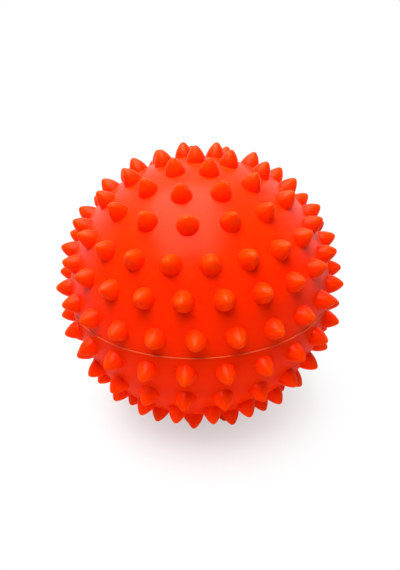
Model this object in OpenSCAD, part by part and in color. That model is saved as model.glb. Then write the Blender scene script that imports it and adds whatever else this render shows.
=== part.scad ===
// Spiky sensory ball of soft vinyl: two hollow half shells with their spikes moulded on,
// a weld bead round the seam, and an air valve at the lower pole.
// Millimetres, +Z through the poles, origin at the centre of the ball.

/* [Shell] */
// Outside diameter of the round shell, without the spikes
shell_d = 90.4; // [80:0.2:120]
// Thickness of the shell wall
wall = 2.5; // [2:0.1:4]

/* [Spikes] */
// Height of a spike above the shell
spike_h = 4.8; // [3.6:0.1:7]
// Diameter of a spike where it leaves the shell
spike_base_d = 6.4; // [5:0.1:7.5]
// Radius of the rounded tip of a spike
spike_tip_r = 1.2; // [0.5:0.05:1.3]
// Radius of the curve of a spike's bulging flank
flank_r = 8; // [7:0.5:30]

/* [Seam] */
// Diameter of the round section of the weld bead
bead_d = 0.7; // [0.5:0.05:1.2]
// Height that the weld bead stands out of the shell
bead_proud = 0.25; // [0.1:0.05:0.4]
// Height of the lip on the lower half that centres the upper half
lip_h = 3; // [2:0.5:6]
// Thickness of the centring lip
lip_t = 1.4; // [1:0.1:2]
// Gap between the centring lip and the upper half
lip_gap = 0.15; // [0.05:0.05:0.4]

/* [Valve] */
// Diameter of the head of the valve plug
head_d = 8; // [7:0.1:10]
// Thickness of the head of the valve plug, on its axis
head_t = 1.5; // [1.2:0.1:1.9]
// Diameter of the stem of the valve plug
stem_d = 4; // [3:0.1:4.5]
// Length of the tapered nose of the stem, past the sleeve
nose_h = 1.6; // [1:0.1:3]
// Diameter of the flat end of the nose
nose_d = 2.6; // [1.5:0.1:2.8]
// Thickness of the wall of the valve sleeve
sleeve_t = 1.3; // [1:0.1:1.6]
// Width of the flange at the inner end of the sleeve
flange_w = 1; // [0.5:0.1:1.4]
// Thickness of the flange of the sleeve
flange_t = 1; // [0.8:0.1:2]
// Diameter of the boss that carries the valve
boss_d = 12; // [11:0.2:14]
// Height of the boss above the inside of the wall
boss_h = 6; // [4:0.5:10]
// Sliding gap round the stem and the head of the plug
plug_gap = 0.05; // [0.02:0.01:0.1]
// Depth of the round-bottomed fingernail notch beside the head of the plug
notch_r = 1.1; // [0.8:0.1:1.4]
// Length of the fingernail notch beyond the edge of the plug's recess
notch_l = 1.6; // [1:0.1:2.5]

/* [Hidden] */
$fn = 96;

// Radii of the shell, outside, inside and half way through the wall
shell_r = shell_d / 2;
inner_r = shell_r - wall;
middle_r = shell_r - wall / 2;

// Rows of spikes from the seam to the pole: how many, how far up the quarter turn from the seam,
// and how far each half's row is turned, as a share of the row's own spacing
row_counts = [24, 23, 21, 15, 11, 6];
row_height_shares = [0.082, 0.242, 0.386, 0.551, 0.698, 0.851];
upper_turn_shares = [-0.15, -0.42, -0.72, -0.24, -0.39, -0.64];
lower_turn_shares = [-0.42, -0.49, -0.76, -0.27, -0.42, -0.67];
// Direction from the centre that the turns are counted from
front_angle = -90;
quarter_turn = 90;
full_turn = 360;

// The flank of a spike is an arc from its base that runs smoothly into the round tip
spike_base_r = spike_base_d / 2;
tip_centre_h = spike_h - spike_tip_r;
base_to_tip = norm([spike_base_r, tip_centre_h]);
flank_to_tip = flank_r - spike_tip_r;
base_angle = atan2(tip_centre_h, -spike_base_r)
    + acos((flank_r * flank_r + base_to_tip * base_to_tip - flank_to_tip * flank_to_tip)
        / (2 * flank_r * base_to_tip));
flank_x = spike_base_r + flank_r * cos(base_angle);
flank_y = flank_r * sin(base_angle);
touch_h = tip_centre_h + spike_tip_r * (tip_centre_h - flank_y) / flank_to_tip;
// The flank runs on into the wall, to half its thickness
root_depth = wall / 2;

// Weld bead: a round ring, let into both rims and proud of the shell
bead_r = bead_d / 2;
bead_ring_r = shell_r + bead_proud - bead_r;

// Centring lip: clear of the inside of the upper half over its whole height
lip_outer_r = sqrt(inner_r * inner_r - lip_h * lip_h) - lip_gap;
lip_inner_r = lip_outer_r - lip_t;

// Heights of the valve, along the axis of the lower pole
seat_z = head_t - shell_r;
boss_z = boss_h - inner_r;
flange_z = boss_z + flange_t;
nose_z = flange_z + nose_h;
stem_r = stem_d / 2;
sleeve_inner_r = stem_r + plug_gap;
sleeve_r = sleeve_inner_r + sleeve_t;
head_r = head_d / 2;
recess_r = head_r + plug_gap;
// The notch points between two spikes of the row nearest the pole
last_row = len(row_counts) - 1;
notch_turn = (lower_turn_shares[last_row] + 1 / 2) * full_turn / row_counts[last_row];

// Half section of a spike: the bulging flank, then the round tip
module spike_section() {
    intersection() {
        translate([flank_x, flank_y]) circle(flank_r);
        translate([0, -root_depth]) square([spike_base_d, root_depth + touch_h]);
    }
    intersection() {
        translate([0, tip_centre_h]) circle(spike_tip_r);
        translate([0, touch_h]) square([spike_tip_r, spike_tip_r]);
    }
}

// One spike, standing on a shell whose surface is at zero height
module spike() {
    rotate_extrude() spike_section();
}

// Places its child on the shell at a latitude and a turn, pointing outwards
module on_shell(latitude, turn) {
    rotate([0, quarter_turn - latitude, front_angle + turn])
        translate([0, 0, shell_r])
            children();
}

// All the rows of one half; side is 1 for the upper half and -1 for the lower half
module spike_rows(side, turn_shares) {
    for (row = [0 : last_row]) {
        spacing = full_turn / row_counts[row];
        for (i = [0 : row_counts[row] - 1])
            on_shell(side * quarter_turn * row_height_shares[row], (i + turn_shares[row]) * spacing)
                spike();
    }
}

// Half section of the bare wall of one half, with the groove for the weld bead in its rim
module wall_section(side) {
    difference() {
        intersection() {
            circle(shell_r);
            translate([0, side < 0 ? -shell_r : 0]) square([shell_r, shell_r]);
        }
        circle(inner_r);
        translate([bead_ring_r, 0]) circle(bead_r);
    }
}

// Half section of the lip that stands up inside the upper half
module lip_section() {
    polygon([
        [lip_inner_r, -lip_h],
        [middle_r, -lip_h],
        [middle_r, 0],
        [lip_outer_r, 0],
        [lip_outer_r, lip_h],
        [lip_inner_r, lip_h]
    ]);
}

// Half section of the boss inside the lower pole
module boss_section() {
    intersection() {
        circle(shell_r);
        translate([0, -shell_r]) square([boss_d / 2, shell_r + boss_z]);
    }
}

module upper_half() {
    color("#ff4a1f") {
        rotate_extrude() wall_section(1);
        spike_rows(1, upper_turn_shares);
        on_shell(quarter_turn, 0) spike();
    }
}

module lower_half() {
    color("#fa431a") {
        difference() {
            rotate_extrude() difference() {
                union() {
                    wall_section(-1);
                    lip_section();
                    boss_section();
                }
                translate([0, -shell_r]) square([recess_r, head_t]);
                translate([0, seat_z]) square([sleeve_r, boss_z - seat_z]);
            }
            rotate([0, 0, front_angle + notch_turn])
                translate([0, 0, -shell_r])
                    rotate([0, quarter_turn, 0])
                        cylinder(h = recess_r + notch_l, r = notch_r);
        }
        spike_rows(-1, lower_turn_shares);
    }
}

module weld_bead() {
    color("#ff7a52")
        rotate_extrude()
            translate([bead_ring_r, 0])
                circle(bead_r);
}

module valve_sleeve() {
    color("#e8e2d6")
        rotate_extrude() {
            translate([sleeve_inner_r, seat_z]) square([sleeve_t, boss_z - seat_z]);
            translate([sleeve_inner_r, boss_z]) square([sleeve_t + flange_w, flange_t]);
        }
}

module valve_plug() {
    color("#f4efe6")
        rotate_extrude() {
            intersection() {
                circle(shell_r);
                translate([0, -shell_r]) square([head_r, head_t]);
            }
            polygon([
                [0, seat_z],
                [stem_r, seat_z],
                [stem_r, flange_z],
                [nose_d / 2, nose_z],
                [0, nose_z]
            ]);
        }
}

upper_half();
lower_half();
weld_bead();
valve_sleeve();
valve_plug();
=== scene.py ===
import math

import bmesh
import bpy
from bpy.props import FloatProperty, FloatVectorProperty, IntProperty, PointerProperty
from mathutils import Matrix, Vector
from mathutils.kdtree import KDTree


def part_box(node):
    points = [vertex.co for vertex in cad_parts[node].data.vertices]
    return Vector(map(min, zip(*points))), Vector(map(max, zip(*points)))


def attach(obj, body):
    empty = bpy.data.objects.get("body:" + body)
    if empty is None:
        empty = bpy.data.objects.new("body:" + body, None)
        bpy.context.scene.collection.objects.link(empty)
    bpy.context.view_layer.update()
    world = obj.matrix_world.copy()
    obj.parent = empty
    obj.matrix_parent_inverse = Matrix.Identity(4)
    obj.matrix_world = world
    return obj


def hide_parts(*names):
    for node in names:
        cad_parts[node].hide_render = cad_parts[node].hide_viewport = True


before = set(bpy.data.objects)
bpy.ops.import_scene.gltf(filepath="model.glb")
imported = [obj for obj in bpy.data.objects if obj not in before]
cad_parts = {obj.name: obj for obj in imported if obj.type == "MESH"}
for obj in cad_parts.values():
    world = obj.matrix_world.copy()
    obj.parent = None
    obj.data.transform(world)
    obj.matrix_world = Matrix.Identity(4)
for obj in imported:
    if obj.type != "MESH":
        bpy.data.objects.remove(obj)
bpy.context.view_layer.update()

bl_info = {
    "name": "Spiky Sensory Ball",
    "version": (1, 0, 0),
    "blender": (4, 5, 0),
    "location": "View3D > Sidebar > Sensory Ball",
    "description": "Models a welded soft vinyl ball with moulded spikes and an air valve",
    "category": "Object",
}

# The box of the construction, before any piece is dressed
MM = 0.001

# Sizes that the construction gives: the plug is flush with the shell, and a spike stands on the pole
SHELL_R = -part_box("valve_plug")[0].z
SPIKE_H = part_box("upper_half")[1].z - SHELL_R
LOWEST_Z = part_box("lower_half")[0].z
LIP_TOP_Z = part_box("lower_half")[1].z
BEAD_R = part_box("weld_bead")[1].z
BEAD_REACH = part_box("weld_bead")[1].x
HEAD_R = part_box("valve_plug")[1].x
NOSE_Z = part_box("valve_plug")[1].z
FLANGE_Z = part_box("valve_sleeve")[1].z
SEAT_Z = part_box("valve_sleeve")[0].z

# Rows of spikes from the seam to the pole, as in the construction: how many, how far up the
# quarter turn from the seam, and how far each half's row is turned, in shares of its spacing
ROW_COUNTS = (24, 23, 21, 15, 11, 6)
ROW_HEIGHT_SHARES = (0.082, 0.242, 0.386, 0.551, 0.698, 0.851)
TURN_SHARES = {
    1: (-0.15, -0.42, -0.72, -0.24, -0.39, -0.64),
    -1: (-0.42, -0.49, -0.76, -0.27, -0.42, -0.67),
}
FRONT_ANGLE = -math.pi / 2

# Points round the foot of a spike, and how far one level of subdivision draws such a ring in
RING_POINTS = 14
RING_SHRINK = (6 + 2 * math.cos(2 * math.pi / RING_POINTS)) / 8
SEAM_POINTS = 168
PLUG_POINTS = 48

# A point nearer to a plane than this lies in it, and an edge that turns more than this stays sharp
NEAR = 0.01 * MM
SHARP_FROM = math.radians(40)

WHITE = (1, 1, 1, 1)


def linear(code):
    """Linear colour of an sRGB hex value such as ff4010."""
    parts = [int(code[i:i + 2], 16) / 255 for i in (0, 2, 4)]
    return tuple(p / 12.92 if p <= 0.04045 else ((p + 0.055) / 1.055) ** 2.4 for p in parts)


class ShellSizes(bpy.types.PropertyGroup):
    """Sizes of the two half shells and their spikes"""

    wall: FloatProperty(
        name="Wall", description="Thickness of the shell wall",
        default=2.5 * MM, unit="LENGTH",
    )
    spike_base: FloatProperty(
        name="Spike base", description="Diameter of a spike where it leaves the shell",
        default=6.4 * MM, unit="LENGTH",
    )
    spike_tip: FloatProperty(
        name="Spike tip", description="Radius of the rounded tip of a spike",
        default=1.2 * MM, unit="LENGTH",
    )
    flank: FloatProperty(
        name="Flank", description="Radius of the curve of a spike's bulging flank",
        default=8.0 * MM, unit="LENGTH",
    )
    fillet: FloatProperty(
        name="Fillet", description="Width of the small fillet round the foot of a spike",
        default=0.08 * MM, unit="LENGTH",
    )
    filler_detail: IntProperty(
        name="Filler detail", description="Subdivisions of the round wall between the spikes",
        default=6, min=5, max=7,
    )
    lip_thickness: FloatProperty(
        name="Lip", description="Thickness of the lip that centres the halves",
        default=1.4 * MM, unit="LENGTH",
    )
    lip_gap: FloatProperty(
        name="Lip gap", description="Gap between the centring lip and the upper half",
        default=0.15 * MM, unit="LENGTH",
    )
    groove_gap: FloatProperty(
        name="Groove gap", description="Gap in the rims round the weld bead",
        default=0.02 * MM, unit="LENGTH",
    )
    rim_crease: FloatProperty(
        name="Rim crease", description="Sharpness of the rims along the seam",
        default=0.95, subtype="FACTOR",
    )
    soak_depth: FloatProperty(
        name="Soak depth", description="How deep red light soaks into the shell vinyl",
        default=1.2 * MM, unit="LENGTH",
    )
    colour: FloatVectorProperty(
        name="Vinyl", description="Colour of the shell vinyl",
        subtype="COLOR", default=linear("ff2c00"),
    )
    colour_deep: FloatVectorProperty(
        name="Vinyl, deeper", description="Deeper tone in the shell vinyl's faint clouding",
        subtype="COLOR", default=linear("fd2500"),
    )
    # Painted glow: a lighter tone painted towards the spike tips, for light that soaks through the thin
    # vinyl
    colour_tip_glow: FloatVectorProperty(
        name="Spike tips", description="Lighter tone of the thin tips of the spikes",
        subtype="COLOR", default=linear("ff3e00"),
    )
    colour_gloss: FloatVectorProperty(
        name="Vinyl gloss", description="Tint of the gloss, from pigment close under the skin",
        subtype="COLOR", default=linear("ffa046"),
    )


class BeadSizes(bpy.types.PropertyGroup):
    """Sizes of the weld bead"""

    unevenness: FloatProperty(
        name="Unevenness", description="How far the flash of the weld wanders",
        default=0.09 * MM, unit="LENGTH",
    )
    steps: IntProperty(
        name="Steps", description="Segments round the bead",
        default=256, min=120, max=256,
    )
    flow_length: FloatProperty(
        name="Flow length", description="Length of the lumps in the flash of the weld",
        default=3.0 * MM, unit="LENGTH",
    )
    height_share: FloatProperty(
        name="Height share", description="Height of the squeezed flash, as a share of its depth",
        default=0.55, subtype="FACTOR",
    )
    soak_depth: FloatProperty(
        name="Soak depth", description="How deep light soaks into the thin flash of the weld",
        default=0.6 * MM, unit="LENGTH",
    )
    # Painted highlight: the weld vinyl is painted paler than the shell, for the light caught along the
    # top of the bead
    colour: FloatVectorProperty(
        name="Weld vinyl", description="Colour of the stretched vinyl of the weld",
        subtype="COLOR", default=linear("ff6a40"),
    )
    colour_deep: FloatVectorProperty(
        name="Weld vinyl, deeper", description="Deeper tone in the weld",
        subtype="COLOR", default=linear("ff4418"),
    )


class ValveSizes(bpy.types.PropertyGroup):
    """Sizes of the air valve at the lower pole"""

    boss: FloatProperty(
        name="Boss", description="Diameter of the boss that carries the valve",
        default=12.0 * MM, unit="LENGTH",
    )
    stem: FloatProperty(
        name="Stem", description="Diameter of the stem of the plug",
        default=4.0 * MM, unit="LENGTH",
    )
    nose: FloatProperty(
        name="Nose", description="Diameter of the flat end of the nose",
        default=2.6 * MM, unit="LENGTH",
    )
    nose_height: FloatProperty(
        name="Nose height", description="Length of the tapered nose of the stem",
        default=1.6 * MM, unit="LENGTH",
    )
    sleeve_wall: FloatProperty(
        name="Sleeve wall", description="Thickness of the wall of the sleeve",
        default=1.3 * MM, unit="LENGTH",
    )
    gap: FloatProperty(
        name="Gap", description="Sliding gap round the plug",
        default=0.05 * MM, unit="LENGTH",
    )
    flange: FloatProperty(
        name="Flange", description="Thickness of the flange of the sleeve",
        default=1.0 * MM, unit="LENGTH",
    )
    edge: FloatProperty(
        name="Edge", description="Rounding of the moulded edges of the valve",
        default=0.2 * MM, unit="LENGTH",
    )
    dimple: FloatProperty(
        name="Dimple", description="Radius of the moulding dimple in the head of the plug",
        default=1.1 * MM, unit="LENGTH",
    )
    notch: FloatProperty(
        name="Notch", description="Radius of the fingernail notch beside the plug",
        default=1.1 * MM, unit="LENGTH",
    )
    notch_length: FloatProperty(
        name="Notch length", description="Length of the notch beyond the recess",
        default=1.6 * MM, unit="LENGTH",
    )
    soak_depth: FloatProperty(
        name="Soak depth", description="How deep light soaks into the milky vinyl",
        default=0.6 * MM, unit="LENGTH",
    )
    colour: FloatVectorProperty(
        name="Valve vinyl", description="Colour of the milky vinyl of the valve",
        subtype="COLOR", default=linear("f1ece2"),
    )
    colour_deep: FloatVectorProperty(
        name="Valve vinyl, deeper", description="Deeper tone in the milky vinyl",
        subtype="COLOR", default=linear("e6dfd2"),
    )


class StageSettings(bpy.types.PropertyGroup):
    """Camera, light and floor"""

    distance: FloatProperty(
        name="Distance", description="Distance of the camera from the centre of the ball",
        default=4.37 * SHELL_R, unit="LENGTH",
    )
    elevation: FloatProperty(
        name="Elevation", description="Height of the camera above the horizon",
        default=math.radians(27.74), subtype="ANGLE",
    )
    roll: FloatProperty(
        name="Roll", description="Turn of the camera about its own line of sight",
        default=math.radians(-1.85), subtype="ANGLE",
    )
    lens: FloatProperty(
        name="Lens", description="Focal length in millimetres on a 36 mm sensor",
        default=34.74, unit="CAMERA",
    )
    key_power: FloatProperty(
        name="Key", description="Power of the softbox overhead", default=7.4, unit="POWER",
    )
    fill_power: FloatProperty(
        name="Fill", description="Power of the broad light from the right",
        default=0.5, unit="POWER",
    )
    surround: FloatProperty(
        name="Surround", description="Strength of the room's own light", default=0.1,
    )
    key_from: FloatVectorProperty(
        name="Key from", description="Direction of the softbox overhead",
        subtype="DIRECTION", default=(-0.14, -0.1, 0.98),
    )
    fill_from: FloatVectorProperty(
        name="Fill from", description="Direction of the broad light from the right",
        subtype="DIRECTION", default=(0.8, -0.5, 0.15),
    )
    key_distance: FloatProperty(
        name="Key distance", description="Distance of the softbox overhead",
        default=0.5, unit="LENGTH",
    )
    fill_distance: FloatProperty(
        name="Fill distance", description="Distance of the broad light from the right",
        default=0.7, unit="LENGTH",
    )
    key_width: FloatProperty(
        name="Key width", description="Width of the softbox overhead", default=0.42, unit="LENGTH",
    )
    key_length: FloatProperty(
        name="Key length", description="Length of the softbox overhead, front to back",
        default=0.6, unit="LENGTH",
    )
    fill_size: FloatProperty(
        name="Fill size", description="Side of the broad light from the right",
        default=0.6, unit="LENGTH",
    )
    backdrop: FloatProperty(
        name="Backdrop", description="How far behind the ball the backdrop is all white in gloss",
        default=math.radians(25), subtype="ANGLE",
    )
    room: FloatProperty(
        name="Room", description="Brightness in gloss of the dim room in front of the ball",
        default=0.1,
    )
    floor: FloatProperty(
        name="Floor", description="Side of the floor", default=6.0, unit="LENGTH",
    )
    paper: FloatProperty(
        name="Paper", description="Tone of the floor near the ball, as it gives light back",
        default=0.8, subtype="FACTOR",
    )
    table: FloatProperty(
        name="Table", description="Tone of the floor far from the ball, as it gives light back",
        default=0.18, subtype="FACTOR",
    )
    paper_to: FloatProperty(
        name="Paper to", description="Radius at which the floor's tone starts to darken",
        default=0.08, unit="LENGTH",
    )
    table_from: FloatProperty(
        name="Table from", description="Radius at which the floor has its far tone",
        default=0.3, unit="LENGTH",
    )
    paper_gloss: FloatProperty(
        name="Paper in gloss", description="Tone of the floor near the ball as seen in gloss",
        default=0.15, subtype="FACTOR",
    )
    shadow_lift: FloatProperty(
        name="Shadow lift", description="Share of white in the middle of the ball's shadow",
        default=0.45, subtype="FACTOR",
    )
    shadow_to: FloatProperty(
        name="Shadow to", description="Radius at which the floor is all white",
        default=0.07, unit="LENGTH",
    )
    gloss_to: FloatProperty(
        name="Gloss to", description="Radius at which the floor is all white as seen in gloss",
        default=0.4, unit="LENGTH",
    )


GROUPS = {
    "sensory_ball_shell": ShellSizes,
    "sensory_ball_bead": BeadSizes,
    "sensory_ball_valve": ValveSizes,
    "sensory_ball_stage": StageSettings,
}


def settings(context, name):
    """The property group of that name on the scene."""
    return getattr(context.scene, "sensory_ball_" + name)


# Materials

def add_node(tree, kind, inputs=(), **values):
    """Adds a node, sets its values, and links or sets its inputs."""
    node = tree.nodes.new(kind)
    for name, value in values.items():
        setattr(node, name, value)
    for socket, value in dict(inputs).items():
        if isinstance(value, bpy.types.NodeSocket):
            tree.links.new(value, node.inputs[socket])
        else:
            node.inputs[socket].default_value = value
    return node


def new_material(name):
    """An empty material, with its tree, its shader and its Object coordinates."""
    material = bpy.data.materials.new(name)
    material.use_nodes = True
    tree = material.node_tree
    place = add_node(tree, "ShaderNodeTexCoord").outputs["Object"]
    return material, tree, tree.nodes["Principled BSDF"], place


def waves_per_metre(size):
    """Scale of a noise whose features are that size."""
    return 1 / size


def satin_vinyl(name, colour, deep, tip, gloss, soak_depth):
    """Soft PVC from a finely blasted mould: a satin, grained skin, with faint clouds in the pigment, and
    a glow painted towards the spike tips.
    """
    cloud_size = 14 * MM
    # The real grain is about 0.1 mm; it is drawn coarser so that it shows
    grain_size = 0.45 * MM
    grain_depth = 0.06 * MM
    # The soft wall shrinks a little unevenly as it cools, which leaves shallow ripples
    ripple_size = 7 * MM
    ripple_depth = 0.12 * MM
    # The high points of the grain are a little duller than the rest
    smooth, dull = 0.3, 0.42
    low_noise, high_noise = 0.3, 0.7
    # Red light reaches furthest into soft vinyl
    soak_shares = (1.0, 0.7, 0.5)
    sheen, sheen_roughness = 0.085, 0.25
    pvc_ior, gloss_level = 1.53, 0.08
    # The painted glow towards the spike tips starts a little above the shell
    tip_glow_from = SHELL_R + SPIKE_H / 8
    material, tree, shader, place = new_material(name)
    clouds = add_node(
        tree, "ShaderNodeTexNoise",
        {"Vector": place, "Scale": waves_per_metre(cloud_size), "Detail": 4.0},
    )
    tint = add_node(
        tree, "ShaderNodeMix", {"Factor": clouds.outputs["Fac"]}, data_type="RGBA",
    )
    tint.inputs["A"].default_value = (*deep, 1)
    tint.inputs["B"].default_value = (*colour, 1)
    # Painted glow: the spikes are painted lighter towards their tips, for light that soaks through the
    # thin, tapering vinyl
    reach = add_node(tree, "ShaderNodeVectorMath", {0: place}, operation="LENGTH")
    tip_glow_share = add_node(
        tree, "ShaderNodeMapRange",
        {"Value": reach.outputs["Value"], "From Min": tip_glow_from, "From Max": SHELL_R + SPIKE_H},
    )
    with_tip_glow = add_node(
        tree, "ShaderNodeMix", {"Factor": tip_glow_share.outputs["Result"]}, data_type="RGBA",
    )
    tree.links.new(tint.outputs["Result"], with_tip_glow.inputs["A"])
    with_tip_glow.inputs["B"].default_value = (*tip, 1)
    grain = add_node(
        tree, "ShaderNodeTexNoise",
        {"Vector": place, "Scale": waves_per_metre(grain_size), "Detail": 2.0},
    )
    ripples = add_node(
        tree, "ShaderNodeTexNoise",
        {"Vector": place, "Scale": waves_per_metre(ripple_size), "Detail": 2.0},
    )
    polish = add_node(
        tree, "ShaderNodeMapRange",
        {"Value": grain.outputs["Fac"], "From Min": low_noise, "From Max": high_noise,
         "To Min": smooth, "To Max": dull},
    )
    rippled = add_node(
        tree, "ShaderNodeBump",
        {"Height": ripples.outputs["Fac"], "Distance": ripple_depth, "Strength": 0.4},
    )
    grained = add_node(
        tree, "ShaderNodeBump",
        {"Height": grain.outputs["Fac"], "Distance": grain_depth, "Strength": 0.6,
         "Normal": rippled.outputs["Normal"]},
    )
    tree.links.new(with_tip_glow.outputs["Result"], shader.inputs["Base Color"])
    tree.links.new(polish.outputs["Result"], shader.inputs["Roughness"])
    tree.links.new(grained.outputs["Normal"], shader.inputs["Normal"])
    # Light of the vinyl's own colour soaks a little way in before it comes out again
    shader.inputs["Subsurface Weight"].default_value = 1.0
    shader.inputs["Subsurface Radius"].default_value = soak_shares
    shader.inputs["Subsurface Scale"].default_value = soak_depth
    # The plasticiser on the skin gives a thin, colourless sheen over the tinted gloss
    shader.inputs["Coat Weight"].default_value = sheen
    shader.inputs["Coat Roughness"].default_value = sheen_roughness
    shader.inputs["IOR"].default_value = pvc_ior
    shader.inputs["Specular IOR Level"].default_value = gloss_level
    shader.inputs["Specular Tint"].default_value = (*gloss, 1)
    return material


def seen_rays(tree):
    """1 for rays that the camera sees, straight or in gloss and clear pieces."""
    path = add_node(tree, "ShaderNodeLightPath")
    gloss = add_node(
        tree, "ShaderNodeMath",
        {0: path.outputs["Is Camera Ray"], 1: path.outputs["Is Glossy Ray"]}, operation="MAXIMUM",
    )
    return add_node(
        tree, "ShaderNodeMath",
        {0: gloss.outputs[0], 1: path.outputs["Is Transmission Ray"]}, operation="MAXIMUM",
    ).outputs[0]


def white_floor(stage):
    """Matt white paper: shows the soft shadow, is plain white further out, and clear from below."""
    material = bpy.data.materials.new("white_paper_sweep")
    material.use_nodes = True
    tree = material.node_tree
    place = add_node(tree, "ShaderNodeTexCoord").outputs["Object"]
    reach = add_node(tree, "ShaderNodeVectorMath", {0: place}, operation="LENGTH")
    path = add_node(tree, "ShaderNodeLightPath")
    end = add_node(
        tree, "ShaderNodeMix",
        {"Factor": path.outputs["Is Camera Ray"], "A": stage.gloss_to, "B": stage.shadow_to},
    )
    least = add_node(
        tree, "ShaderNodeMath",
        {0: path.outputs["Is Camera Ray"], 1: stage.shadow_lift}, operation="MULTIPLY",
    )
    fade = add_node(
        tree, "ShaderNodeMapRange",
        {"Value": reach.outputs["Value"], "From Max": end.outputs["Result"],
         "To Min": least.outputs[0]},
        interpolation_type="SMOOTHSTEP",
    )
    share = add_node(
        tree, "ShaderNodeMath",
        {0: fade.outputs["Result"], 1: seen_rays(tree)}, operation="MULTIPLY",
    )
    # The light that the floor gives back to the ball comes mostly from the paper near it
    bounce = add_node(
        tree, "ShaderNodeMapRange",
        {"Value": reach.outputs["Value"], "From Min": stage.paper_to, "From Max": stage.table_from,
         "To Min": stage.paper, "To Max": stage.table},
    )
    tone = add_node(
        tree, "ShaderNodeMix",
        {"Factor": path.outputs["Is Glossy Ray"], "A": bounce.outputs["Result"],
         "B": stage.paper_gloss},
    )
    paper = add_node(tree, "ShaderNodeBsdfDiffuse", {"Color": tone.outputs["Result"]})
    glow = add_node(tree, "ShaderNodeEmission", {"Color": WHITE, "Strength": 1.0})
    sweep = add_node(
        tree, "ShaderNodeMixShader",
        {0: share.outputs[0], 1: paper.outputs[0], 2: glow.outputs[0]},
    )
    back = add_node(tree, "ShaderNodeNewGeometry").outputs["Backfacing"]
    clear = add_node(tree, "ShaderNodeBsdfTransparent")
    both = add_node(tree, "ShaderNodeMixShader", {0: back, 1: sweep.outputs[0], 2: clear.outputs[0]})
    tree.links.new(both.outputs[0], tree.nodes["Material Output"].inputs["Surface"])
    return material


def light_room(scene, stage):
    """A dim room with a white backdrop, as gloss shows it; plain white to the camera, faint as light."""
    world = bpy.data.worlds.new("white_room")
    world.use_nodes = True
    tree = world.node_tree
    path = add_node(tree, "ShaderNodeLightPath")
    mirrored = add_node(
        tree, "ShaderNodeMath",
        {0: path.outputs["Is Glossy Ray"], 1: path.outputs["Is Transmission Ray"]},
        operation="MAXIMUM",
    )
    way = add_node(tree, "ShaderNodeTexCoord").outputs["Generated"]
    behind = add_node(tree, "ShaderNodeSeparateXYZ", {0: way}).outputs["Y"]
    wall = add_node(
        tree, "ShaderNodeMapRange",
        {"Value": behind, "From Min": 0.0, "From Max": math.sin(stage.backdrop),
         "To Min": stage.room, "To Max": 1.0},
    )
    reflected = add_node(
        tree, "ShaderNodeMix",
        {"Factor": mirrored.outputs[0], "A": stage.surround, "B": wall.outputs["Result"]},
    )
    strength = add_node(
        tree, "ShaderNodeMix",
        {"Factor": path.outputs["Is Camera Ray"], "A": reflected.outputs["Result"], "B": 1.0},
    )
    background = tree.nodes["Background"]
    background.inputs["Color"].default_value = WHITE
    tree.links.new(strength.outputs["Result"], background.inputs["Strength"])
    scene.world = world


def add_softbox(name, direction, distance, width, length, power):
    """A softbox that faces the ball, with its length along the depth of the scene."""
    light = bpy.data.lights.new(name, "AREA")
    light.shape = "RECTANGLE"
    light.size = width
    light.size_y = length
    light.energy = power
    box = bpy.data.objects.new(name, light)
    bpy.context.scene.collection.objects.link(box)
    towards = Vector(direction).normalized()
    across = Vector((0, 1, 0)).cross(towards).normalized()
    along = towards.cross(across)
    box.rotation_euler = Matrix((across, along, towards)).transposed().to_euler()
    box.location = towards * distance
    return box


# Modelling steps

def start_fresh():
    """Leaves nothing selected, so that an operator acts on the new piece alone."""
    if bpy.context.object and bpy.context.object.mode != "OBJECT":
        bpy.ops.object.mode_set(mode="OBJECT")
    bpy.ops.object.select_all(action="DESELECT")


def choose(obj, kind, test):
    """Selects in edit mode the vertices, edges or faces that pass a test."""
    mesh = bmesh.from_edit_mesh(obj.data)
    mode = {"verts": "VERT", "edges": "EDGE", "faces": "FACE"}[kind]
    chosen = [element for element in getattr(mesh, kind) if test(element)]
    for elements in (mesh.verts, mesh.edges, mesh.faces):
        for element in elements:
            element.select = False
    mesh.select_mode = {mode}
    for element in chosen:
        element.select_set(True)
    mesh.select_flush_mode()
    bpy.context.tool_settings.mesh_select_mode = [mode == m for m in ("VERT", "EDGE", "FACE")]
    bmesh.update_edit_mesh(obj.data)


def follow(rings):
    """Extrudes the chosen ring through the given (radius, height) stations."""
    for (radius, height), (next_radius, next_height) in zip(rings, rings[1:]):
        bpy.ops.mesh.extrude_region()
        ratio = next_radius / radius
        bpy.ops.transform.resize(value=(ratio, ratio, 1), center_override=(0, 0, height))
        bpy.ops.transform.translate(value=(0, 0, next_height - height))


def apply_modifier(obj, kind, **values):
    """Adds a modifier, sets its values and applies it."""
    modifier = obj.modifiers.new(kind.title(), kind)
    for name, value in values.items():
        setattr(modifier, name, value)
    bpy.context.view_layer.objects.active = obj
    bpy.ops.object.modifier_apply(modifier=modifier.name)


def subdivide_once(obj):
    """One level of subdivision surface, applied."""
    apply_modifier(obj, "SUBSURF", levels=1, render_levels=1, use_limit_surface=False)


def dress(obj, node, body, material):
    """Gives a finished piece its material, ties it to its body, and hides the construction's node that
    it replaces.
    """
    obj.data.materials.clear()
    obj.data.materials.append(material)
    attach(obj, body)
    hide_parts(node)


# The half shells

def spike_axes(side):
    """Directions of all the spikes of one half; side is 1 for the upper and -1 for the lower."""
    axes = []
    for count, height_share, turn_share in zip(ROW_COUNTS, ROW_HEIGHT_SHARES, TURN_SHARES[side]):
        latitude = side * height_share * math.pi / 2
        for i in range(count):
            turn = FRONT_ANGLE + (i + turn_share) * 2 * math.pi / count
            flat = math.cos(latitude)
            axes.append(Vector((flat * math.cos(turn), flat * math.sin(turn), math.sin(latitude))))
    if side > 0:
        axes.append(Vector((0, 0, 1)))
    return axes


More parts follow.
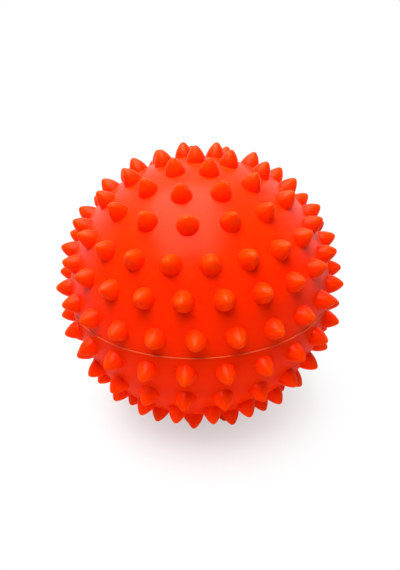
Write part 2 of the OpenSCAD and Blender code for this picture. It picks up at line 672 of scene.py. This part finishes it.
def spike_profile(sizes):
    """(radius, height) stations of a spike, from the fillet at its foot to its round tip."""
    base_r = sizes.spike_base / 2
    tip_centre = SPIKE_H - sizes.spike_tip
    span = math.hypot(base_r, tip_centre)
    inner = sizes.flank - sizes.spike_tip
    lean = math.atan2(tip_centre, -base_r) + math.acos(
        (sizes.flank ** 2 + span ** 2 - inner ** 2) / (2 * sizes.flank * span)
    )
    centre_r = base_r + sizes.flank * math.cos(lean)
    centre_h = sizes.flank * math.sin(lean)
    touch_h = tip_centre + sizes.spike_tip * (tip_centre - centre_h) / inner
    foot_r = base_r + sizes.fillet
    turn_r = base_r + sizes.fillet / 4
    stations = [
        (foot_r, -foot_r ** 2 / (2 * SHELL_R)),
        (turn_r, -turn_r ** 2 / (2 * SHELL_R)),
    ]
    flank_shares = (0.02, 0.12, 0.32, 0.55, 0.78, 0.94)
    tip_angles = (math.radians(55), math.radians(75))
    for share in flank_shares:
        height = share * touch_h
        stations.append((centre_r + math.sqrt(sizes.flank ** 2 - (height - centre_h) ** 2), height))
    for angle in tip_angles:
        stations.append(
            (sizes.spike_tip * math.cos(angle), tip_centre + sizes.spike_tip * math.sin(angle))
        )
    # The last ring is lifted to full height, because subdivision leaves its middle in its plane
    stations[-1] = (stations[-1][0], SPIKE_H)
    return [(radius / RING_SHRINK, height) for radius, height in stations]


def raise_profile(stations):
    """Insets the chosen round faces along a profile; each face's normal is its axis."""
    flat_share = math.cos(math.pi / RING_POINTS)
    for (radius, height), (next_radius, next_height) in zip(stations, stations[1:]):
        bpy.ops.mesh.inset(
            thickness=(radius - next_radius) * flat_share,
            depth=next_height - height,
            use_even_offset=True,
            use_individual=True,
        )


def add_ring(axis, radius, points):
    """Lays a ring of points on the shell, round an axis."""
    bpy.ops.mesh.primitive_circle_add(
        vertices=points,
        radius=radius,
        location=axis * math.sqrt(SHELL_R ** 2 - radius ** 2),
        rotation=axis.to_track_quat("Z", "Y").to_euler(),
    )


def round_wall(name, side, feet, seam_z, shell):
    """The round wall of one half, with one round face at each foot, an (axis, radius) pair."""
    # The hull rounds its points off, so those of the wall keep clear of the feet and of the rim
    foot_clear = 1.5 * MM
    rim_clear = 1.3 * MM
    slack = 0.05 * MM
    places = KDTree(len(feet))
    for i, (axis, _) in enumerate(feet):
        places.insert(axis * SHELL_R, i)
    places.balance()

    def in_foot(point, margin):
        _, i, distance = places.find(point)
        return i if distance < feet[i][1] + margin else None

    bpy.ops.mesh.primitive_circle_add(
        vertices=SEAM_POINTS, radius=math.sqrt(SHELL_R ** 2 - seam_z ** 2), location=(0, 0, seam_z),
    )
    half = bpy.context.object
    half.name = name
    bpy.ops.object.transform_apply(location=True, rotation=True, scale=True)
    bpy.ops.object.mode_set(mode="EDIT")
    for axis, radius in feet:
        add_ring(axis, radius, RING_POINTS)
    bpy.ops.mesh.primitive_ico_sphere_add(subdivisions=shell.filler_detail, radius=SHELL_R)
    seam_clear = side * seam_z + rim_clear
    choose(
        half, "verts",
        lambda v: v.select
        and (side * v.co.z < seam_clear or in_foot(v.co, foot_clear) is not None),
    )
    bpy.ops.mesh.delete(type="VERT")
    bpy.ops.mesh.select_all(action="SELECT")
    bpy.ops.mesh.convex_hull(join_triangles=False)
    at_seam = abs(seam_z) + NEAR
    choose(half, "faces", lambda f: all(abs(v.co.z) < at_seam for v in f.verts))
    bpy.ops.mesh.delete(type="FACE")

    def spans_foot(face):
        found = {in_foot(v.co, slack) for v in face.verts}
        return len(found) == 1 and None not in found

    choose(half, "faces", spans_foot)
    bpy.ops.mesh.dissolve_faces()
    found = sum(len(f.verts) == RING_POINTS for f in bmesh.from_edit_mesh(half.data).faces)
    if found != len(feet):
        raise RuntimeError(f"{name}: {found} round faces for {len(feet)} feet")
    return half


def groove_stations(seam_z, shell):
    """(radius, height) stations of a rim: round the groove of the weld bead, then inwards."""
    groove_r = BEAD_R + shell.groove_gap
    groove_angles = (math.radians(130), math.radians(155))
    ring_r = BEAD_REACH - BEAD_R
    stations = [(math.sqrt(SHELL_R ** 2 - seam_z ** 2), seam_z)]
    for angle in groove_angles:
        stations.append((ring_r + groove_r * math.cos(angle), seam_z * math.sin(angle)))
    stations.append((ring_r - groove_r, 0))
    return stations


def inner_arc(side, first, last, steps, inner_r):
    """(radius, height) stations along the inside of the shell between two heights."""
    start = math.asin(first / inner_r)
    end = math.asin(last / inner_r)
    angles = [start + (end - start) * i / steps for i in range(steps + 1)]
    return [(inner_r * math.cos(a), side * inner_r * math.sin(a)) for a in angles]


def close_half(half):
    """Turns a finished control mesh into the smooth half shell."""
    bpy.ops.mesh.select_all(action="SELECT")
    bpy.ops.mesh.normals_make_consistent(inside=False)
    bpy.ops.object.mode_set(mode="OBJECT")
    subdivide_once(half)
    bpy.ops.object.shade_smooth_by_angle(angle=SHARP_FROM)


def choose_seam(half, seam_z):
    """Selects the open edge of the round wall at the seam."""
    choose(
        half, "edges",
        lambda e: e.is_boundary and all(abs(v.co.z - seam_z) < NEAR for v in e.verts),
    )


def model_upper_half(shell, bead):
    """Upper half: spikes, rim and the plain inside."""
    inner_r = SHELL_R - shell.wall
    near_pole_z = inner_r * 0.99
    arc_steps = 9
    seam_z = BEAD_R * bead.height_share + shell.groove_gap
    profile = spike_profile(shell)
    feet = [(axis, profile[0][0]) for axis in spike_axes(1)]
    half = round_wall("vinyl_upper_half", 1, feet, seam_z, shell)
    raise_profile(profile)
    choose_seam(half, seam_z)
    bpy.ops.transform.edge_crease(value=shell.rim_crease)
    follow(groove_stations(seam_z, shell) + inner_arc(1, 0, near_pole_z, arc_steps, inner_r))
    bpy.ops.mesh.edge_face_add()
    close_half(half)
    return half


def at_valve(face):
    """True for a many-sided face on the axis of the ball."""
    return len(face.verts) == RING_POINTS and face.calc_center_median().xy.length < MM


def model_lower_half(shell, bead, valve):
    """Lower half: spikes, rim with its lip, boss and the recess of the valve."""
    inner_r = SHELL_R - shell.wall
    seam_z = -BEAD_R * bead.height_share - shell.groove_gap
    boss_r = valve.boss / 2
    boss_z = FLANGE_Z - valve.flange
    recess_r = (HEAD_R + valve.gap) / RING_SHRINK
    bore_r = (valve.stem / 2 + valve.gap + valve.sleeve_wall) / RING_SHRINK
    recess_rim_r = recess_r + 2 * valve.edge
    seat_h = -(SEAT_Z + SHELL_R)
    boss_h = -(boss_z + SHELL_R)
    rim_h = -recess_rim_r ** 2 / (2 * SHELL_R)
    lip_outer_r = math.sqrt(inner_r ** 2 - LIP_TOP_Z ** 2) - shell.lip_gap
    lip_inner_r = lip_outer_r - shell.lip_thickness
    profile = spike_profile(shell)
    feet = [(axis, profile[0][0]) for axis in spike_axes(-1)]
    feet.append((Vector((0, 0, -1)), recess_rim_r))
    half = round_wall("vinyl_lower_half", -1, feet, seam_z, shell)
    choose(half, "faces", lambda f: len(f.verts) == RING_POINTS and not at_valve(f))
    raise_profile(profile)
    choose(half, "faces", at_valve)
    raise_profile([
        (recess_rim_r, rim_h),
        (recess_r + valve.edge / 2, rim_h),
        (recess_r, rim_h - valve.edge),
        (recess_r, seat_h + valve.edge / 2),
        (recess_r - valve.edge / 2, seat_h),
        (bore_r + valve.edge / 2, seat_h),
        (bore_r, seat_h - valve.edge / 2),
        (bore_r, boss_h),
    ])
    bpy.ops.mesh.delete(type="FACE")
    choose_seam(half, seam_z)
    bpy.ops.transform.edge_crease(value=shell.rim_crease)
    boss_foot_z = math.sqrt(inner_r ** 2 - boss_r ** 2)
    arc_steps = 8
    follow(
        groove_stations(seam_z, shell)
        + [(lip_outer_r, 0), (lip_outer_r, LIP_TOP_Z), (lip_inner_r, LIP_TOP_Z)]
        + [(lip_inner_r, -LIP_TOP_Z)]
        + inner_arc(-1, LIP_TOP_Z, boss_foot_z, arc_steps, inner_r)
        + [(boss_r, boss_z), (bore_r + valve.edge, boss_z)]
    )
    choose(half, "edges", lambda e: e.is_boundary)
    bpy.ops.mesh.bridge_edge_loops()
    close_half(half)
    cut_notch(half, valve)
    return half


def cut_notch(half, valve):
    """Cuts the round-ended fingernail notch out of the rim of the recess."""
    start_fresh()
    bpy.ops.mesh.primitive_uv_sphere_add(segments=24, ring_count=12, radius=valve.notch)
    cutter = bpy.context.object
    bpy.ops.object.mode_set(mode="EDIT")
    choose(cutter, "verts", lambda v: v.co.z > 0)
    length = HEAD_R + valve.gap + valve.notch_length - valve.notch
    bpy.ops.transform.translate(value=(0, 0, length))
    bpy.ops.object.mode_set(mode="OBJECT")
    turn = FRONT_ANGLE + (TURN_SHARES[-1][-1] + 1 / 2) * 2 * math.pi / ROW_COUNTS[-1]
    cutter.matrix_world = (
        Matrix.Translation((0, 0, -SHELL_R))
        @ Matrix.Rotation(turn, 4, "Z")
        @ Matrix.Rotation(math.pi / 2, 4, "Y")
    )
    start_fresh()
    half.select_set(True)
    apply_modifier(half, "BOOLEAN", operation="DIFFERENCE", solver="EXACT", object=cutter)
    bpy.ops.object.shade_smooth_by_angle(angle=SHARP_FROM)
    bpy.data.objects.remove(cutter)


# The weld bead

def model_weld_bead(bead):
    """Ring of weld flash, which wanders a little and has small lumps."""
    start_fresh()
    bpy.ops.mesh.primitive_torus_add(
        major_segments=bead.steps, minor_segments=10,
        major_radius=BEAD_REACH - BEAD_R, minor_radius=BEAD_R,
    )
    ring = bpy.context.object
    ring.name = "vinyl_weld_bead"
    bpy.ops.object.mode_set(mode="EDIT")
    bpy.ops.mesh.select_all(action="SELECT")
    bpy.ops.transform.resize(value=(1, 1, bead.height_share), center_override=(0, 0, 0))
    bpy.ops.transform.vertex_random(offset=bead.unevenness, uniform=0.3, normal=0.7, seed=11)
    bpy.ops.mesh.vertices_smooth(factor=0.5, repeat=2)
    bpy.ops.object.mode_set(mode="OBJECT")
    flow = bpy.data.textures.new("weld_flow", "CLOUDS")
    flow.noise_scale = bead.flow_length
    apply_modifier(
        ring, "DISPLACE", texture=flow, texture_coords="LOCAL",
        strength=2 * bead.unevenness, mid_level=0.5,
    )
    bpy.ops.object.shade_smooth()
    return ring


# The valve

def model_valve_plug(valve):
    """Stopper: tapered nose, stem and a head that lies flush in the shell."""
    stem_r = valve.stem / 2
    nose_r = valve.nose / 2
    edge = valve.edge

    def on_shell(radius):
        return radius, -math.sqrt(SHELL_R ** 2 - radius ** 2)

    start_fresh()
    stations = [
        (nose_r - edge, NOSE_Z),
        (nose_r, NOSE_Z - edge),
        (stem_r, NOSE_Z - valve.nose_height),
        (stem_r, NOSE_Z - valve.nose_height - edge),
        (stem_r, SEAT_Z + edge),
        (stem_r + edge / 2, SEAT_Z),
        (HEAD_R - edge, SEAT_Z),
        (HEAD_R, SEAT_Z - edge),
        (HEAD_R, on_shell(HEAD_R)[1] + edge),
        on_shell(HEAD_R - edge),
        on_shell((HEAD_R + valve.dimple) / 2),
        on_shell(valve.dimple + edge),
        (valve.dimple, on_shell(valve.dimple)[1] + edge / 2),
        (valve.dimple / 2, on_shell(0)[1] + 2 * edge),
    ]
    bpy.ops.mesh.primitive_circle_add(
        vertices=PLUG_POINTS, radius=stations[0][0], location=(0, 0, stations[0][1]),
        fill_type="NGON",
    )
    plug = bpy.context.object
    plug.name = "vinyl_valve_plug"
    bpy.ops.object.transform_apply(location=True, rotation=True, scale=True)
    bpy.ops.object.mode_set(mode="EDIT")
    choose(plug, "edges", lambda e: True)
    follow(stations)
    bpy.ops.mesh.edge_face_add()
    bpy.ops.mesh.select_all(action="SELECT")
    bpy.ops.mesh.normals_make_consistent(inside=False)
    bpy.ops.object.mode_set(mode="OBJECT")
    subdivide_once(plug)
    bpy.ops.object.shade_smooth_by_angle(angle=SHARP_FROM)
    return plug


class SENSORY_BALL_OT_shell_halves(bpy.types.Operator):
    """Model the two spiked half shells"""

    bl_idname = "sensory_ball.shell_halves"
    bl_label = "Shell Halves"

    def execute(self, context):
        shell = settings(context, "shell")
        # Pigmented through and through, so that the skin glows with the colour of the vinyl itself
        vinyl = satin_vinyl(
            "moulded_satin_vinyl",
            shell.colour, shell.colour_deep, shell.colour_tip_glow, shell.colour_gloss, shell.soak_depth,
        )
        bead = settings(context, "bead")
        start_fresh()
        upper = model_upper_half(shell, bead)
        dress(upper, "upper_half", "ball", vinyl)
        start_fresh()
        lower = model_lower_half(shell, bead, settings(context, "valve"))
        dress(lower, "lower_half", "ball", vinyl)
        return {"FINISHED"}


class SENSORY_BALL_OT_weld_bead(bpy.types.Operator):
    """Model the weld bead round the seam"""

    bl_idname = "sensory_ball.weld_bead"
    bl_label = "Weld Bead"

    def execute(self, context):
        bead = settings(context, "bead")
        # Pressed out thin as the halves were welded; painted paler than the shell, as painted highlight
        # for the light caught along its top
        vinyl = satin_vinyl(
            "welded_vinyl_flash",
            bead.colour, bead.colour_deep, bead.colour, bead.colour, bead.soak_depth,
        )
        dress(model_weld_bead(bead), "weld_bead", "ball", vinyl)
        return {"FINISHED"}


class SENSORY_BALL_OT_valve(bpy.types.Operator):
    """Model the valve plug and finish the valve sleeve"""

    bl_idname = "sensory_ball.valve"
    bl_label = "Air Valve"

    def execute(self, context):
        valve = settings(context, "valve")
        # Moulded without pigment, so that it looks milky
        vinyl = satin_vinyl(
            "milky_soft_vinyl",
            valve.colour, valve.colour_deep, valve.colour, valve.colour, valve.soak_depth,
        )
        dress(model_valve_plug(valve), "valve_plug", "plug", vinyl)
        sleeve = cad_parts["valve_sleeve"]
        sleeve.data.materials.clear()
        sleeve.data.materials.append(vinyl)
        return {"FINISHED"}


class SENSORY_BALL_OT_stage(bpy.types.Operator):
    """Set up the floor, the light and the camera"""

    bl_idname = "sensory_ball.stage"
    bl_label = "Stage"

    def execute(self, context):
        stage = settings(context, "stage")
        start_fresh()
        bpy.ops.mesh.primitive_plane_add(size=stage.floor, location=(0, 0, LOWEST_Z))
        floor = bpy.context.object
        floor.name = "floor"
        floor.data.materials.append(white_floor(stage))
        light_room(context.scene, stage)
        add_softbox(
            "key_softbox", stage.key_from, stage.key_distance,
            stage.key_width, stage.key_length, stage.key_power,
        )
        fill = add_softbox(
            "fill_softbox", stage.fill_from, stage.fill_distance,
            stage.fill_size, stage.fill_size, stage.fill_power,
        )
        fill.visible_glossy = False
        camera = bpy.data.objects.new("camera", bpy.data.cameras.new("camera"))
        context.scene.collection.objects.link(camera)
        camera.data.lens = stage.lens
        camera.data.clip_start = 0.01
        camera.matrix_world = (
            Matrix.Rotation(math.pi / 2 - stage.elevation, 4, "X")
            @ Matrix.Rotation(stage.roll, 4, "Z")
            @ Matrix.Translation((0, 0, stage.distance))
        )
        context.scene.camera = camera
        context.scene.view_settings.view_transform = "Standard"
        return {"FINISHED"}


class SENSORY_BALL_PT_sidebar(bpy.types.Panel):
    """Sidebar panel with the ball's sizes and steps"""

    bl_idname = "SENSORY_BALL_PT_sidebar"
    bl_label = "Sensory Ball"
    bl_space_type = "VIEW_3D"
    bl_region_type = "UI"
    bl_category = "Sensory Ball"

    def draw(self, context):
        for name, group in GROUPS.items():
            box = self.layout.box()
            for prop in group.__annotations__:
                box.prop(getattr(context.scene, name), prop)
        for step in STEPS:
            self.layout.operator(step.bl_idname)


STEPS = (
    SENSORY_BALL_OT_shell_halves,
    SENSORY_BALL_OT_weld_bead,
    SENSORY_BALL_OT_valve,
    SENSORY_BALL_OT_stage,
)
CLASSES = (*GROUPS.values(), *STEPS, SENSORY_BALL_PT_sidebar)


def register():
    """Adds the classes, and the property groups on the scene."""
    for cls in CLASSES:
        bpy.utils.register_class(cls)
    for name, group in GROUPS.items():
        setattr(bpy.types.Scene, name, PointerProperty(type=group))


def unregister():
    """Takes the property groups and the classes away again."""
    for name in GROUPS:
        delattr(bpy.types.Scene, name)
    for cls in reversed(CLASSES):
        bpy.utils.unregister_class(cls)


def main():
    """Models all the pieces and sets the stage."""
    register()
    bpy.ops.sensory_ball.shell_halves()
    bpy.ops.sensory_ball.weld_bead()
    bpy.ops.sensory_ball.valve()
    bpy.ops.sensory_ball.stage()


if __name__ == "__main__":
    main()
